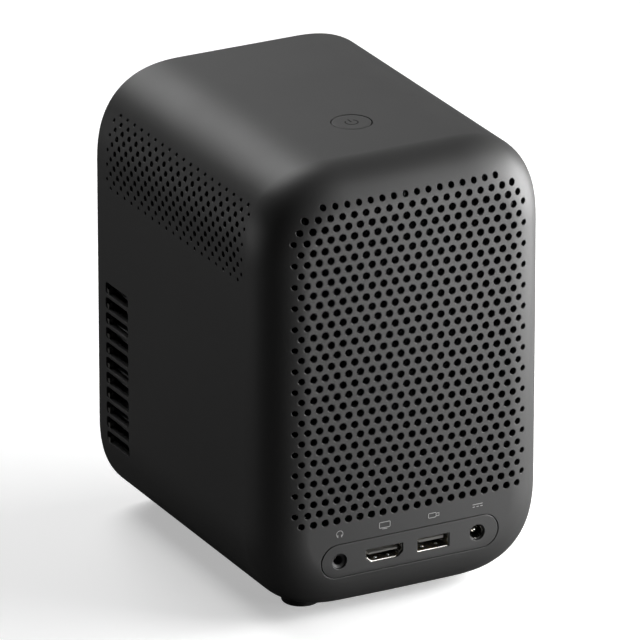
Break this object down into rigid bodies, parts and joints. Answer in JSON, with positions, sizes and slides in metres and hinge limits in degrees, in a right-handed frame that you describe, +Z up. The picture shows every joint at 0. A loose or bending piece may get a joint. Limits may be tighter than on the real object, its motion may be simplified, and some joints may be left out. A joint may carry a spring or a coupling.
{
  "type": "home projector",
  "caption": "Upright home projector with a rounded dark housing, perforated rear and side grilles, side air slots, rear sockets, a top power button and a focusing front lens.",
  "frame": {"origin": "on the table, under the middle of the body, at the underside of the feet", "axes": "+Z up, -Y out of the lens, +Y out of the rear sockets, +X the side with the left speaker seen along the projection"},
  "size_m": [0.113, 0.134, 0.1675],
  "materials": {
    "dark_shell": "fine spark texture, satin",
    "front_panel": "matte",
    "gloss_black": "polished",
    "black_plastic": "matte",
    "speaker_cone": "matte",
    "rubber": "matte",
    "white_plastic": "satin",
    "lens_glass": "polished, coated",
    "brass": "machined",
    "steel": "rolled",
    "nickel": "plated",
    "aluminium": "mill finish",
    "copper": "bare copper",
    "circuit_board": "solder mask",
    "filter_mesh": "woven mesh"
  },
  "bodies": {
    "root": {"base_screw_front_left": "steel", "base_screw_front_right": "steel", "base_screw_rear_left": "steel", "base_screw_rear_right": "steel", "blower_cover": "black_plastic", "blower_housing": "black_plastic", "chip_heatsink": "aluminium", "cold_plate": "copper", "display_chip": "gloss_black", "dust_filter": "filter_mesh", "engine_housing": "black_plastic", "fin_stack": "aluminium", "focus_motor": "steel", "foot_front_left": "rubber", "foot_front_right": "rubber", "foot_rear_left": "rubber", "foot_rear_right": "rubber", "front_panel": "front_panel", "hdmi_shell": "nickel", "hdmi_tongue": "black_plastic", "headphone_jack": "black_plastic", "heat_pipe_inner": "copper", "heat_pipe_outer": "copper", "housing": "dark_shell", "inner_frame": "steel", "led_board": "white_plastic", "lens_barrel": "black_plastic", "lens_bezel": "gloss_black", "main_board": "circuit_board", "power_board": "circuit_board", "power_coil": "copper", "power_jack": "black_plastic", "power_jack_pin": "nickel", "power_switch": "steel", "processor_heatsink": "aluminium", "rear_fan_frame": "black_plastic", "sensor_window": "gloss_black", "socket_board": "circuit_board", "socket_panel": "dark_shell", "speaker_left_basket": "black_plastic", "speaker_left_cone": "speaker_cone", "speaker_left_magnet": "steel", "speaker_right_basket": "black_plastic", "speaker_right_cone": "speaker_cone", "speaker_right_magnet": "steel", "status_light": "white_plastic", "switch_board": "circuit_board", "tripod_socket": "brass", "usb_shell": "nickel", "usb_tongue": "white_plastic"},
    "blower_rotor": {"blower_impeller": "black_plastic"},
    "rear_fan_wheel": {"rear_fan_rotor": "black_plastic"},
    "focus_gear": {"focus_ring": "white_plastic"},
    "focus_drive": {"focus_pinion": "brass"},
    "lens_group": {"lens_cell": "black_plastic", "front_lens": "lens_glass", "rear_lens": "lens_glass"},
    "button": {"power_button": "dark_shell", "switch_plunger": "white_plastic"}
  },
  "joints": [
    {"name": "power_button_press", "type": "slide", "parent": "root", "child": "button", "axis": [0, 0, -1], "range_m": [0, 0.0005], "stiffness_N_per_m": 900},
    {"name": "blower_spin", "type": "hinge", "parent": "root", "child": "blower_rotor", "pos_m": [-0.006, -0.052, 0.0598], "axis": [0, 1, 0], "continuous": true},
    {"name": "rear_fan_spin", "type": "hinge", "parent": "root", "child": "rear_fan_wheel", "pos_m": [0, 0.049, 0.095], "axis": [0, 1, 0], "continuous": true},
    {"name": "focus_turn", "type": "hinge", "parent": "root", "child": "focus_gear", "pos_m": [0, -0.042, 0.1225], "axis": [0, 1, 0], "range_deg": [-25, 25]},
    {"name": "focus_pinion_spin", "type": "hinge", "parent": "root", "child": "focus_drive", "pos_m": [-0.01923, -0.042, 0.10327], "axis": [0, 1, 0], "range_deg": [-90, 90]},
    {"name": "lens_travel", "type": "slide", "parent": "root", "child": "lens_group", "axis": [0, -1, 0], "range_m": [-0.0015, 0.0015]}
  ],
  "couplings": [
    {"joint": "focus_pinion_spin", "follows": "focus_turn", "ratio": -3.5},
    {"joint": "lens_travel", "follows": "focus_turn", "m_per_rad": 0.0034}
  ]
}
